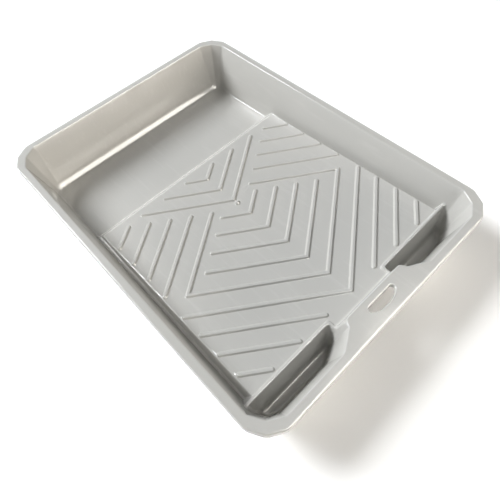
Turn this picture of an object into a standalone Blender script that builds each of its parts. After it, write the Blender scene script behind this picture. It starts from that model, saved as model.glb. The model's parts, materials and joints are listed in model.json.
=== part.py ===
"""Paint roller tray: one thin plastic moulding, modelled as its named sections.

Metres, +Z up. X runs across the tray, +Y points to the deep well and -Y to the hang tab.
The origin is on the ground under the middle of the tray. Every section is a closed solid,
cut from its neighbours at a fold of the moulding with a hairline gap.
"""
import math

import bmesh
import bpy
from mathutils import Vector

# ---- driving dimensions -----------------------------------------------------------------
GAP = 0.0003                  # hairline between neighbouring sections
WALL = 0.002                  # thickness of the moulding
INNER_HALF_WIDTH = 0.135      # rim's inner edge, at rim level
INNER_HALF_LENGTH = 0.1845
CORNER_CUT = 0.020            # each corner is two facets that turn 30 degrees at a time
DRAFT = 0.19                  # every wall leans out by this much per unit of height
RIM_HEIGHT = 0.057            # top of the rim above the ground
RIM_WIDTH = 0.0076
RIM_FLARE = 0.0004            # the skirt leans out a little
RIM_EDGE = 0.0012             # bevel of the rim's outer edge
SKIRT_DROP = 0.0065

WELL_DEPTH = 0.055            # depths are measured down from the top of the rim
GUTTER_DEPTH = 0.044
LIP_DEPTH = 0.0232            # top edge of the leg pockets
BACK_FILLET = 0.010           # between the well's back wall and its floor
SIDE_FILLET = 0.0025
FILLET_STEPS = 4
CREASE_Y = 0.131              # the well floor starts to rise here
RAMP_FOOT_Y = 0.080
RAMP_FOOT_DEPTH = 0.0538
DECK_BACK_Y = 0.066
DECK_BACK_DEPTH = 0.0385
DECK_FRONT_Y = -0.1575
DECK_FRONT_DEPTH = 0.0252
DECK_HALF_WIDTH = 0.1215

POCKET_INNER_X = 0.037        # inner end of each leg pocket, at its top edge
TAB_HALF_WIDTH = 0.0336       # straight inner edge of the hang tab
TAB_EDGE_Y = -0.1685
TAB_KNEE = (0.0370, -0.1744)
TAB_ROOT_X = 0.0546           # where the tab's flare leaves the front wall
SLOT_HALF_WIDTH = 0.0155
SLOT_STRAIGHT_Y = -0.1742
SLOT_ARC_Y = -0.1834
SLOT_CORNER = 0.003
ARC_STEPS = 6                 # along each half of the slot's arc
CORNER_STEPS = 4              # along each of its rounded corners

RIB_ANGLE = math.radians(36.0)
RIB_PITCH = 0.0253            # along the tray's length
RIB_WIDTH = 0.0046
RIB_TOP_WIDTH = 0.0022
RIB_HEIGHT = 0.0012
RIB_SIDE_X = 0.118            # ribs stop here, short of the deck's side edges
RIB_FRONT_Y = -0.1510
RIB_BACK_Y = 0.0570
CENTRE_Y = 0.0007             # point of the middle V
FRONT_RIB_PITCH = 0.0233      # the short ribs beside the leg pockets are a little closer
NESTED_V_PITCH = 0.0214       # and so are the small Vs beside the well
V_GAP = 0.0164                # from the middle V to the ends of the outer ribs, along Y
DIAMOND_TOP = 0.0237          # the outer ribs' lines cross the middle of the tray here
DIAMOND_GAP = 0.0142          # from the diamond's back sides to the ends of the inner Vs
BUTTON_Y = -0.0051
BUTTON_RADIUS = 0.0021
BUTTON_LIFT = 0.0004
GUIDE_DEPTH = 0.0005          # ribs start this far inside the deck

PLASTIC = (0.58, 0.57, 0.54)
PLASTIC_ROUGHNESS = 0.22

FRONT_SLOPE = (DECK_BACK_DEPTH - DECK_FRONT_DEPTH) / (DECK_BACK_Y - DECK_FRONT_Y)
RAMP_SLOPE = (RAMP_FOOT_DEPTH - DECK_BACK_DEPTH) / (RAMP_FOOT_Y - DECK_BACK_Y)
TILT = math.atan(DRAFT)
WALL_ACROSS = WALL / math.cos(TILT)          # the wall's thickness measured level
TOP_DEPTH = WALL + GAP                       # walls start under the rim's plate
HALF_GAP = GAP / 2


def clear_scene():
    for obj in list(bpy.data.objects):
        bpy.data.objects.remove(obj, do_unlink=True)


def plastic(name, shade):
    """Warm grey plastic; shade tells neighbouring sections apart."""
    material = bpy.data.materials.new(name)
    material.use_nodes = True
    shader = material.node_tree.nodes["Principled BSDF"]
    shader.inputs["Base Color"].default_value = [c * shade for c in PLASTIC] + [1.0]
    shader.inputs["Roughness"].default_value = PLASTIC_ROUGHNESS
    shader.inputs["Metallic"].default_value = 0.0
    return material


def add_object(name, bm, shade=1.0):
    """Turn a bmesh into a named object with its own material."""
    bmesh.ops.recalc_face_normals(bm, faces=bm.faces)
    mesh = bpy.data.meshes.new(name)
    bm.to_mesh(mesh)
    bm.free()
    obj = bpy.data.objects.new(name, mesh)
    bpy.context.scene.collection.objects.link(obj)
    mesh.materials.append(plastic(name + "_plastic", shade))
    return obj


def add_boolean(obj, tool, operation):
    """Combine a guide solid with an object; the guide itself is left out."""
    tool.hide_render = True
    tool.display_type = 'WIRE'
    modifier = obj.modifiers.new(tool.name, 'BOOLEAN')
    modifier.operation = operation
    modifier.object = tool


# ---- outline, stations and sweeps -------------------------------------------------------
def level(depth):
    """Height above the ground of a depth below the rim."""
    return RIM_HEIGHT - depth


def deck_depth(y):
    """Depth of the sloping deck's top at a place along the tray."""
    return DECK_BACK_DEPTH - FRONT_SLOPE * (DECK_BACK_Y - y)


def floor_depth(y):
    """Depth of the well's floor and of the ramp that climbs from it."""
    if y >= CREASE_Y:
        return WELL_DEPTH
    if y >= RAMP_FOOT_Y:
        rise = (WELL_DEPTH - RAMP_FOOT_DEPTH) / (CREASE_Y - RAMP_FOOT_Y)
        return WELL_DEPTH - rise * (CREASE_Y - y)
    return RAMP_FOOT_DEPTH - RAMP_SLOPE * (RAMP_FOOT_Y - y)


def ramp_y(depth):
    """Place along the tray where the ramp has this depth."""
    return RAMP_FOOT_Y - (RAMP_FOOT_DEPTH - depth) / RAMP_SLOPE


def outward(angle):
    """Unit vector at an angle in degrees, counter-clockwise from +X."""
    return Vector((math.cos(math.radians(angle)), math.sin(math.radians(angle))))


def mitre(first, second):
    """How a corner between two walls moves when both walls move out by one unit."""
    return (first + second) / (1.0 + first.dot(second))


def corner_stations(side_x, side_y):
    """Three (point, mitre) pairs round one corner, from the side wall to the end wall."""
    normals = [outward(a) for a in (0, 30, 60, 90)]
    mid = CORNER_CUT * normals[1].y / (normals[1].x + normals[1].y)
    points = [(INNER_HALF_WIDTH, INNER_HALF_LENGTH - CORNER_CUT),
              (INNER_HALF_WIDTH - mid, INNER_HALF_LENGTH - mid),
              (INNER_HALF_WIDTH - CORNER_CUT, INNER_HALF_LENGTH)]
    stations = []
    for point, first, second in zip(points, normals, normals[1:]):
        turn = mitre(first, second)
        stations.append((Vector((side_x * point[0], side_y * point[1])),
                         Vector((side_x * turn.x, side_y * turn.y))))
    return stations


def side_station(side_x, y):
    """A square cut across a side wall."""
    return Vector((side_x * INNER_HALF_WIDTH, y)), Vector((side_x, 0.0))


def with_gaps(stations):
    """Pull the two end stations in, so that neighbouring sections don't touch."""
    pulled = list(stations)
    for end, beside in ((0, 1), (-1, -2)):
        point, turn = stations[end]
        along = (stations[beside][0] - point).normalized()
        pulled[end] = (point + along * HALF_GAP, turn)
    return pulled


def sweep(name, stations, profiles, shade=1.0):
    """Solid whose cross-section at each station is a profile of (offset, depth) points."""
    bm = bmesh.new()
    rings = []
    for (point, turn), profile in zip(stations, profiles):
        ring = []
        for offset, depth in profile:
            place = point + turn * offset
            ring.append(bm.verts.new((place.x, place.y, level(depth))))
        rings.append(ring)
    count = len(rings[0])
    for ring, after in zip(rings, rings[1:]):
        for i in range(count):
            j = (i + 1) % count
            bm.faces.new((ring[i], ring[j], after[j], after[i]))
    bm.faces.new(rings[0])
    bm.faces.new(list(reversed(rings[-1])))
    bmesh.ops.triangulate(bm, faces=bm.faces)
    return add_object(name, bm, shade)


def rim_profile():
    """The flat rim with its rounded outer edge and the short skirt that hangs from it."""
    outer = RIM_WIDTH + RIM_FLARE
    return [(HALF_GAP, 0.0), (RIM_WIDTH - RIM_EDGE, 0.0), (RIM_WIDTH, RIM_EDGE),
            (outer, SKIRT_DROP), (outer - WALL, SKIRT_DROP),
            (RIM_WIDTH - WALL, WALL + RIM_EDGE), (RIM_WIDTH - WALL - RIM_EDGE, WALL),
            (HALF_GAP, WALL)]


def plain_profile(foot):
    """A leaning wall from under the rim down to a square foot."""
    return [(-DRAFT * TOP_DEPTH, TOP_DEPTH), (-DRAFT * foot, foot),
            (WALL_ACROSS - DRAFT * foot, foot), (WALL_ACROSS - DRAFT * TOP_DEPTH, TOP_DEPTH)]


def fillet_profile(foot, radius):
    """A leaning wall that turns into the floor through a fillet."""
    centre_depth = foot - radius
    centre = -(centre_depth * math.sin(TILT) + radius) / math.cos(TILT)
    angles = [TILT + (math.pi / 2 - TILT) * i / FILLET_STEPS for i in range(FILLET_STEPS + 1)]

    def arc(size):
        return [(centre + size * math.cos(a), centre_depth + size * math.sin(a)) for a in angles]

    inside = [(-DRAFT * TOP_DEPTH, TOP_DEPTH)] + arc(radius)
    outside = [(WALL_ACROSS - DRAFT * TOP_DEPTH, TOP_DEPTH)] + arc(radius + WALL)
    return inside + list(reversed(outside))


def fillet_foot(foot, radius):
    """Offset of the line where the fillet meets the floor."""
    return -((foot - radius) * math.sin(TILT) + radius) / math.cos(TILT)


def slab(name, faces, drop, shade=1.0):
    """Plate from flat top faces that share corners, pushed straight down."""
    bm = bmesh.new()
    corners = {}
    for face in faces:
        for point in face:
            if point not in corners:
                corners[point] = bm.verts.new(point)
        bm.faces.new([corners[point] for point in face])
    down = bmesh.ops.extrude_face_region(bm, geom=bm.faces[:])
    verts = [v for v in down["geom"] if isinstance(v, bmesh.types.BMVert)]
    bmesh.ops.translate(bm, verts=verts, vec=(0.0, 0.0, -drop))
    return add_object(name, bm, shade)


def mirrored(points):
    """Close a half outline on +X with its mirror image on -X."""
    return points + [(-x, y, z) for x, y, z in reversed(points)]


# ---- rim and hang tab -------------------------------------------------------------------
def make_rim():
    profile = rim_profile()
    back_left, back_right = corner_stations(-1, 1), corner_stations(1, 1)
    front_left, front_right = corner_stations(-1, -1), corner_stations(1, -1)
    runs = {"rim_back": [back_left[2], back_right[2]],
            "rim_front": [front_left[2], front_right[2]],
            "rim_left": [front_left[0], back_left[0]],
            "rim_right": [front_right[0], back_right[0]],
            "rim_corner_back_left": back_left,
            "rim_corner_back_right": back_right,
            "rim_corner_front_left": front_left,
            "rim_corner_front_right": front_right}
    for name, stations in runs.items():
        sweep(name, with_gaps(stations), [profile] * len(stations), 1.05)


def slot_outline():
    """D-shaped slot: a straight side to the deck, rounded corners and an arc to the front."""
    centre_x, centre_y = SLOT_HALF_WIDTH - SLOT_CORNER, SLOT_STRAIGHT_Y - SLOT_CORNER
    reach = centre_y - SLOT_ARC_Y
    half = []
    for i in range(CORNER_STEPS):
        turn = math.pi / 2 * (1 - i / CORNER_STEPS)
        half.append((centre_x + SLOT_CORNER * math.cos(turn), centre_y + SLOT_CORNER * math.sin(turn)))
    for i in range(ARC_STEPS):
        turn = math.pi / 2 * i / ARC_STEPS
        half.append((SLOT_HALF_WIDTH * math.cos(turn), centre_y - reach * math.sin(turn)))
    return half + [(0.0, SLOT_ARC_Y)] + [(-x, y) for x, y in reversed(half)]


def make_hang_tab():
    front = -INNER_HALF_LENGTH + HALF_GAP
    half = [(TAB_ROOT_X, front, RIM_HEIGHT), (TAB_KNEE[0], TAB_KNEE[1], RIM_HEIGHT),
            (TAB_HALF_WIDTH, TAB_EDGE_Y, RIM_HEIGHT)]
    tab = slab("hang_tab", [mirrored(half)], WALL, 1.05)
    top = RIM_HEIGHT + WALL
    cutter = slab("hang_slot_cutter", [[(x, y, top) for x, y in slot_outline()]], 3 * WALL)
    add_boolean(tab, cutter, 'DIFFERENCE')


def tab_stations(side_x):
    """(point, mitre) pairs along the tab's flare: its root, its knee and its tip."""
    root = Vector((TAB_ROOT_X, -INNER_HALF_LENGTH))
    knee = Vector(TAB_KNEE)
    tip = Vector((TAB_HALF_WIDTH, TAB_EDGE_Y))
    first, second = knee - root, tip - knee
    front = Vector((0.0, -1.0))
    normals = [front, Vector((-first.y, first.x)).normalized(),
               Vector((-second.y, second.x)).normalized()]
    turns = [mitre(normals[0], normals[1]), mitre(normals[1], normals[2]), front]
    return [(Vector((side_x * point.x, point.y)), Vector((side_x * turn.x, turn.y)))
            for point, turn in zip((root, knee, tip), turns)]


def make_front_walls():
    upper = plain_profile(LIP_DEPTH - GAP)
    tab_foot = deck_depth(TAB_EDGE_Y + DRAFT * DECK_FRONT_DEPTH) - GAP
    for side, word in ((-1, "left"), (1, "right")):
        corner = corner_stations(side, -1)
        root, knee, tip = tab_stations(side)
        start = side_station(side, DECK_FRONT_Y + WALL_ACROSS)
        sweep("front_corner_" + word, with_gaps([start] + corner), [upper] * 4, 0.96)
        sweep("front_wall_" + word, with_gaps([corner[2], root]), [upper] * 2, 0.92)
        sweep("tab_flare_" + word, with_gaps([root, knee, tip]), [upper] * 3, 0.96)
    stations = with_gaps([tab_stations(-1)[2], tab_stations(1)[2]])
    sweep("tab_wall", stations, [plain_profile(tab_foot)] * 2, 0.92)


# ---- well -------------------------------------------------------------------------------
def make_well_walls():
    ends = [corner_stations(-1, 1)[2], corner_stations(1, 1)[2]]
    sweep("well_back_wall", with_gaps(ends), [fillet_profile(WELL_DEPTH, BACK_FILLET)] * 2)
    middle = (BACK_FILLET + SIDE_FILLET) / 2
    for side, word in ((-1, "left"), (1, "right")):
        corner = corner_stations(side, 1)
        profiles = [fillet_profile(WELL_DEPTH, r) for r in (SIDE_FILLET, middle, BACK_FILLET)]
        sweep("well_corner_" + word, with_gaps(corner), profiles, 0.94)
        places = [DECK_BACK_Y, ramp_y(GUTTER_DEPTH), RAMP_FOOT_Y, CREASE_Y]
        stations = [side_station(side, y) for y in places] + [corner[0]]
        feet = [max(floor_depth(y), GUTTER_DEPTH) for y in places] + [WELL_DEPTH]
        sweep("well_side_" + word, with_gaps(stations),
              [fillet_profile(foot, SIDE_FILLET) for foot in feet], 0.97)


def floor_half_width(depth):
    return INNER_HALF_WIDTH + fillet_foot(depth, SIDE_FILLET) - GAP


def make_well_floor():
    """Flat floor under the back wall, a crease, and a slight rise to the ramp's foot."""
    ground = level(WELL_DEPTH)
    radii = (SIDE_FILLET, (BACK_FILLET + SIDE_FILLET) / 2, BACK_FILLET)
    rim_side = []
    for (point, turn), radius in zip(corner_stations(1, 1), radii):
        place = point + turn * (fillet_foot(WELL_DEPTH, radius) - GAP)
        rim_side.append((place.x, place.y, ground))
    crease = (floor_half_width(WELL_DEPTH), CREASE_Y, ground)
    foot = (floor_half_width(RAMP_FOOT_DEPTH), RAMP_FOOT_Y + HALF_GAP, level(RAMP_FOOT_DEPTH))
    back = mirrored([crease] + rim_side)
    front = mirrored([foot, crease])
    slab("well_floor", [back, front], WALL, 1.02)


def make_well_ramp():
    """Steep plate from the well's floor up to the deck, with a short shelf at each gutter."""
    def on_ramp(x, y):
        return (x, y, level(floor_depth(y)))

    step = DECK_HALF_WIDTH + DRAFT * (GUTTER_DEPTH - DECK_BACK_DEPTH)
    back, front = ramp_y(GUTTER_DEPTH), DECK_BACK_Y + HALF_GAP
    shelf_x, shelf = floor_half_width(GUTTER_DEPTH), level(GUTTER_DEPTH)
    foot = on_ramp(floor_half_width(RAMP_FOOT_DEPTH), RAMP_FOOT_Y - HALF_GAP)
    outer, inner, top = (shelf_x, back, shelf), (step, back, shelf), on_ramp(DECK_HALF_WIDTH, front)
    outer_front, inner_front = (shelf_x, front, shelf), (step, front, shelf)
    faces = [mirrored([foot, outer, inner, top])]
    for side in (-1, 1):
        for face in ([outer, inner, inner_front, outer_front], [inner, top, inner_front]):
            faces.append([(side * x, y, z) for x, y, z in face])
    slab("well_ramp", faces, WALL * math.hypot(1.0, RAMP_SLOPE), 0.98)


# ---- deck and gutters -------------------------------------------------------------------
def make_gutters():
    """Narrow channels beside the deck, with the deck's own side step, and their side walls."""
    back, front = DECK_BACK_Y - HALF_GAP, DECK_FRONT_Y + WALL_ACROSS + GAP
    floor_edge = -DRAFT * GUTTER_DEPTH
    margin = floor_edge + WALL_ACROSS - DRAFT * WALL
    for side, word in ((-1, "left"), (1, "right")):
        profiles = []
        for y in (back, front):
            top = deck_depth(y) + TOP_DEPTH
            step_top = DECK_HALF_WIDTH - INNER_HALF_WIDTH + DRAFT * TOP_DEPTH
            step_foot = step_top + DRAFT * (GUTTER_DEPTH - top)
            low = GUTTER_DEPTH + WALL
            profiles.append([(step_top, top), (step_foot, GUTTER_DEPTH),
                             (margin, GUTTER_DEPTH), (margin, low),
                             (step_foot - WALL_ACROSS, low), (step_top - WALL_ACROSS, top)])
        stations = [side_station(side, back), side_station(side, front)]
        sweep("gutter_" + word, stations, profiles, 0.9)
        sweep("gutter_wall_" + word, stations, [plain_profile(GUTTER_DEPTH - GAP)] * 2, 0.97)


def v_rib(point_y, end_x):
    """Rib line that opens towards the well from a point on the middle line."""
    rise = math.tan(RIB_ANGLE) * end_x
    return [(-end_x, point_y + rise), (0.0, point_y), (end_x, point_y + rise)]


def rib_lines():
    """Centre lines of all ribs, as lists of plan points."""
    slope = math.tan(RIB_ANGLE)
    lines = []
    for i in range(3):
        point = CENTRE_Y + i * NESTED_V_PITCH
        lines.append(v_rib(point, (RIB_BACK_Y - point) / slope))
    inner_line = DIAMOND_TOP - DIAMOND_GAP
    for i in range(1, 5):
        point = CENTRE_Y - i * RIB_PITCH
        lines.append(v_rib(point, (inner_line - point) / (2 * slope)))
    outer_line = CENTRE_Y - V_GAP
    diamond_point = CENTRE_Y - 5 * RIB_PITCH
    corner_x = (DIAMOND_TOP - diamond_point) / (2 * slope)
    tip_x = (DIAMOND_TOP - outer_line) / (2 * slope)
    tip = (tip_x, outer_line + slope * tip_x)
    left, middle, right = v_rib(diamond_point, corner_x)
    lines.append([(-tip[0], tip[1]), left, middle, right, tip])
    lines.append(v_rib(CENTRE_Y - 6 * RIB_PITCH, RIB_SIDE_X))
    for side in (-1, 1):
        for i in range(1, 5):
            top = DIAMOND_TOP + i * RIB_PITCH
            start_x = (top - outer_line) / (2 * slope)
            lines.append([(side * start_x, top - slope * start_x),
                          (side * RIB_SIDE_X, top - slope * RIB_SIDE_X)])
        for i in range(1, 4):
            point = CENTRE_Y - 6 * RIB_PITCH - i * FRONT_RIB_PITCH
            start_x = (RIB_FRONT_Y - point) / slope
            lines.append([(side * start_x, RIB_FRONT_Y),
                          (side * RIB_SIDE_X, point + slope * RIB_SIDE_X)])
    return lines


def add_rib(bm, line):
    """Low bar with sloping sides along a bent line, sunk a little into the deck."""
    points = [Vector(p) for p in line]
    steps = [(b - a).normalized() for a, b in zip(points, points[1:])]
    rings = []
    for i, point in enumerate(points):
        before, after = steps[max(i - 1, 0)], steps[min(i, len(steps) - 1)]
        across = mitre(Vector((-before.y, before.x)), Vector((-after.y, after.x)))
        shift = Vector((0.0, 0.0))
        if i == 0:
            shift = steps[0]
        elif i == len(points) - 1:
            shift = -steps[-1]
        ring = []
        for half, lift, pull in ((RIB_WIDTH / 2, -GUIDE_DEPTH, 0.0),
                                 (RIB_TOP_WIDTH / 2, RIB_HEIGHT, 1.0),
                                 (-RIB_TOP_WIDTH / 2, RIB_HEIGHT, 1.0),
                                 (-RIB_WIDTH / 2, -GUIDE_DEPTH, 0.0)):
            place = point + across * half + shift * pull * (RIB_WIDTH - RIB_TOP_WIDTH) / 2
            ring.append(bm.verts.new((place.x, place.y, level(deck_depth(place.y)) + lift)))
        rings.append(ring)
    for ring, after in zip(rings, rings[1:]):
        for i in range(4):
            j = (i + 1) % 4
            bm.faces.new((ring[i], ring[j], after[j], after[i]))
    bm.faces.new(rings[0])
    bm.faces.new(list(reversed(rings[-1])))


def make_deck():
    """Sloping deck with a tongue under the hang tab, its ribs and its centre button."""
    back, front = DECK_BACK_Y - HALF_GAP, DECK_FRONT_Y + WALL_ACROSS + GAP
    tongue_x = POCKET_INNER_X - WALL_ACROSS - GAP
    tongue_y = TAB_EDGE_Y + DRAFT * DECK_FRONT_DEPTH - WALL_ACROSS
    plan = [(DECK_HALF_WIDTH, back), (DECK_HALF_WIDTH, front), (tongue_x, front), (tongue_x, tongue_y)]
    half = [(x, y, level(deck_depth(y))) for x, y in plan]
    deck = slab("roller_deck", [mirrored(half)], WALL, 1.02)
    bm = bmesh.new()
    for line in rib_lines():
        add_rib(bm, line)
    add_boolean(deck, add_object("deck_rib_guide", bm), 'UNION')
    bm = bmesh.new()
    bmesh.ops.create_uvsphere(bm, u_segments=12, v_segments=8, radius=BUTTON_RADIUS)
    height = level(deck_depth(BUTTON_Y)) + BUTTON_LIFT
    bmesh.ops.translate(bm, verts=bm.verts, vec=(0.0, BUTTON_Y, height))
    add_boolean(deck, add_object("deck_button_guide", bm), 'UNION')


# ---- leg pockets ------------------------------------------------------------------------
def cut(bm, point, normal):
    """Trim a convex solid with a plane and close the cut."""
    found = bmesh.ops.bisect_plane(bm, geom=bm.verts[:] + bm.edges[:] + bm.faces[:],
                                   plane_co=point, plane_no=normal, clear_outer=True)
    edges = [e for e in found["geom_cut"] if isinstance(e, bmesh.types.BMEdge)]
    if edges:
        bmesh.ops.holes_fill(bm, edges=edges)


def pocket_solid(side, grow, top, bottom):
    """Convex pocket shape between two depths; grow moves every wall out."""
    bm = bmesh.new()
    bmesh.ops.create_cube(bm, size=1.0)
    for vert in bm.verts:
        vert.co.x = INNER_HALF_WIDTH if vert.co.x > 0 else 0.0
        vert.co.y = DECK_FRONT_Y + 2 * WALL if vert.co.y > 0 else -INNER_HALF_LENGTH
        vert.co.z = level(top) if vert.co.z > 0 else level(bottom)
    root, knee = (point for point, turn in tab_stations(1)[:2])
    flare = (knee - root).normalized()
    side_end, middle, front_end = (point for point, turn in corner_stations(1, -1))
    lip = level(LIP_DEPTH)
    walls = [(Vector((0.0, DECK_FRONT_Y)), lip, outward(90)),
             (Vector((POCKET_INNER_X, 0.0)), lip, outward(180)),
             (root, RIM_HEIGHT, Vector((-flare.y, flare.x))),
             (front_end, RIM_HEIGHT, outward(-90)), (middle, RIM_HEIGHT, outward(-60)),
             (side_end, RIM_HEIGHT, outward(-30)), (side_end, RIM_HEIGHT, outward(0))]
    for point, height, normal in walls:
        lean = Vector((normal.x, normal.y, -DRAFT)).normalized()
        cut(bm, point.to_3d() + Vector((0.0, 0.0, height)) + lean * grow, lean)
    if side < 0:
        bmesh.ops.scale(bm, vec=(-1.0, 1.0, 1.0), verts=bm.verts)
    return bm


def make_leg_pockets():
    """Deep narrow cups at the front corners; their floors stand on the ground."""
    for side, word in ((-1, "left"), (1, "right")):
        outer = pocket_solid(side, WALL, LIP_DEPTH, WELL_DEPTH + WALL)
        pocket = add_object("leg_pocket_" + word, outer, 0.9)
        inner = pocket_solid(side, 0.0, LIP_DEPTH - WALL, WELL_DEPTH)
        add_boolean(pocket, add_object("pocket_cutter_" + word, inner), 'DIFFERENCE')


def main():
    clear_scene()
    make_rim()
    make_hang_tab()
    make_front_walls()
    make_well_walls()
    make_well_floor()
    make_well_ramp()
    make_gutters()
    make_deck()
    make_leg_pockets()


main()
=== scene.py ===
"""Looks of the paint roller tray: the thin moulding as smooth, filleted closed shells.

The tray is described once, as a field built from flat faces that are joined with true fillets. Its
top and its underside are the heights where that field is zero and one wall thickness further in.
Both are meshed on one plan triangulation whose lines follow every fillet and rib, and the plan is
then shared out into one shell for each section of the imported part.
"""

import json
import math

import bpy
import numpy as np
from mathutils import Euler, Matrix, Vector
from mathutils.geometry import delaunay_2d_cdt

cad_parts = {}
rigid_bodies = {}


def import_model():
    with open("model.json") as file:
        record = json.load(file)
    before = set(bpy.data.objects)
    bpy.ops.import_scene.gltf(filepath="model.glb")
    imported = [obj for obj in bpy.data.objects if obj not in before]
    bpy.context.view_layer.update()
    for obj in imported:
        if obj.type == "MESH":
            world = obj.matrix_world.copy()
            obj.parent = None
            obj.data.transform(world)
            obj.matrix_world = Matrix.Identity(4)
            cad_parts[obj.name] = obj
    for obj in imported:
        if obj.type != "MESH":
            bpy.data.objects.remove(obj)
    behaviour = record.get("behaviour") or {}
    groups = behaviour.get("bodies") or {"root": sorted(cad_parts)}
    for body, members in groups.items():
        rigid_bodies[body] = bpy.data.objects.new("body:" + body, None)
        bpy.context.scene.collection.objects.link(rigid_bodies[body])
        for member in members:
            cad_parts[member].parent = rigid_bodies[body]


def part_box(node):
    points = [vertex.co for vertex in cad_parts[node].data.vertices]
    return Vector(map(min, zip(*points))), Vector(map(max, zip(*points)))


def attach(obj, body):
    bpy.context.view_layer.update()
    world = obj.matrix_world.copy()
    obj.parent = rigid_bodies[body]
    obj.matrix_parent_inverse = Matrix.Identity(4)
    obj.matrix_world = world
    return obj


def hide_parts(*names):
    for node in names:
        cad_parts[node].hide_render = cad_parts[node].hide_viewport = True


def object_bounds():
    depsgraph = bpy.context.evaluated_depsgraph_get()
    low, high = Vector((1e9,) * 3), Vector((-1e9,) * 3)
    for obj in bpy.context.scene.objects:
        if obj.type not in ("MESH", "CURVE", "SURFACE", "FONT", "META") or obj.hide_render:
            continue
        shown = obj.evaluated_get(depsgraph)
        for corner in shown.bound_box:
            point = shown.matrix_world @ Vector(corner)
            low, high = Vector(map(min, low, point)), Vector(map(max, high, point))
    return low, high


for leftover in list(bpy.data.objects):
    bpy.data.objects.remove(leftover, do_unlink=True)
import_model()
cad_low, cad_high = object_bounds()

# Lengths are in metres. The deep well is towards +Y and the hang tab towards -Y.

# ---- places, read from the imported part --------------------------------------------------
HAIRLINE = 0.00015                       # half of the gap between two packed sections
RIM_REACH = 0.008                        # from the rim's inner edge to the skirt's foot
RIM_TOP = cad_high.z
GROUND = cad_low.z
HALF_WIDTH = cad_high.x - RIM_REACH      # inner edge of the rim
HALF_LENGTH = cad_high.y - RIM_REACH
DECK_BACK_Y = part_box("roller_deck")[1].y + HAIRLINE
DECK_HALF_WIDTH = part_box("roller_deck")[1].x
TAB_EDGE_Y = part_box("hang_tab")[1].y
TAB_ROOT_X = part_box("hang_tab")[1].x

# ---- sizes of the moulding --------------------------------------------------------------
WALL = 0.002
DRAFT = 0.19                             # every wall leans out by this much per unit of height
CORNER_DRAFT = 0.14                      # the well's corner facets stand steeper
CORNER_CUT = 0.020                       # how much of each side of the rim a corner takes
CORNER_REACH = 0.0102                    # the rim is wider round its corners
RIM_FLARE = 0.0004                       # how far the skirt leans out
SKIRT_DROP = 0.0065
WELL_DEPTH = 0.055                       # depths are measured down from the top of the rim
GUTTER_DEPTH = 0.044
LIP_DEPTH = 0.0232
CREASE_Y = 0.131                         # the well's floor rises a little in front of this
RAMP_FOOT_Y = 0.080
RAMP_FOOT_DEPTH = 0.0538
DECK_BACK_DEPTH = 0.0385
DECK_FRONT_DEPTH = 0.0252
DECK_FRONT_Y = -0.1575
LIP_WIDTH = 0.0021                       # the lip stands between a leg pocket and the deck
LIP_LEAN = 0.35
POCKET_INNER_X = 0.037
TAB_HALF_WIDTH = 0.0336
TAB_KNEE = (0.0370, -0.1744)             # where the tab's outline turns from flared to steep

SLOT_HALF_WIDTH = 0.0155
SLOT_STRAIGHT_Y = -0.1742
SLOT_ARC_Y = -0.1834
SLOT_CORNER = 0.003
SLOT_DROP = 0.0034                       # the slot's own little skirt
SLOT_ZONE = 0.003                        # the slot changes nothing further away than this

RIB_ANGLE = math.radians(36.0)
RIB_PITCH = 0.0253                       # pitches are measured along the tray's middle line
RIB_ROWS = 5
RIB_WIDTH = 0.0054
RIB_TOP_WIDTH = 0.0016
RIB_HEIGHT = 0.0017
RIB_SIDE_X = 0.118                       # the ribs end at these lines
RIB_FRONT_Y = -0.1510
RIB_BACK_Y = 0.0570
CENTRE_Y = 0.0007                        # point of the foremost of the nested Vs
NESTED_V_COUNT = 3
NESTED_V_PITCH = 0.0214
FRONT_RIB_COUNT = 3
FRONT_RIB_PITCH = 0.0233
V_GAP = 0.0164                           # from the first V to the ends of the ribs beside it
DIAMOND_TOP = 0.0237                     # where the innermost falling rib meets the middle line
DIAMOND_GAP = 0.0142                     # from that rib to the ends of the ribs inside it
BUTTON_Y = -0.0051
BUTTON_RADIUS = 0.0030
BUTTON_HEIGHT = 0.0026

# ---- fillets ----------------------------------------------------------------------------
RIM_INNER_ROUND = 0.0013
RIM_OUTER_ROUND = 0.0016
SKIRT_CORNER_ROUND = 0.0140
WALL_CORNER_ROUND = 0.0045
BACK_FILLET = 0.014                      # round the foot of the well's back wall
BACK_BLEND_LEAD = 0.004                  # it starts to grow this far in front of the corner
BACK_BLEND_LENGTH = CORNER_CUT + 0.002
WELL_FILLET = 0.0025
GUTTER_FILLET = 0.0011
CREASE_ROUND = 0.060
RAMP_FOOT_ROUND = 0.0060
RAMP_TOP_ROUND = 0.0060
STEP_ROUND = 0.0009
LIP_ROUND = 0.0009
LIP_FOOT_ROUND = 0.0010
POCKET_ROUND = 0.0030
SLOT_ROUND = 0.0010
SMALLEST_ROUND = 0.0008
HEM_ROUND = WALL / 4                     # inner edge of the skirt's foot
HEM_ZONE = 2.5 * WALL                    # width of the strip in which the skirt is cut level

# Drops of the floors per unit of y
DECK_SLOPE = (DECK_BACK_DEPTH - DECK_FRONT_DEPTH) / (DECK_BACK_Y - DECK_FRONT_Y)
RISE_SLOPE = (WELL_DEPTH - RAMP_FOOT_DEPTH) / (CREASE_Y - RAMP_FOOT_Y)
RAMP_SLOPE = (RAMP_FOOT_DEPTH - DECK_BACK_DEPTH) / (RAMP_FOOT_Y - DECK_BACK_Y)

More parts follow.
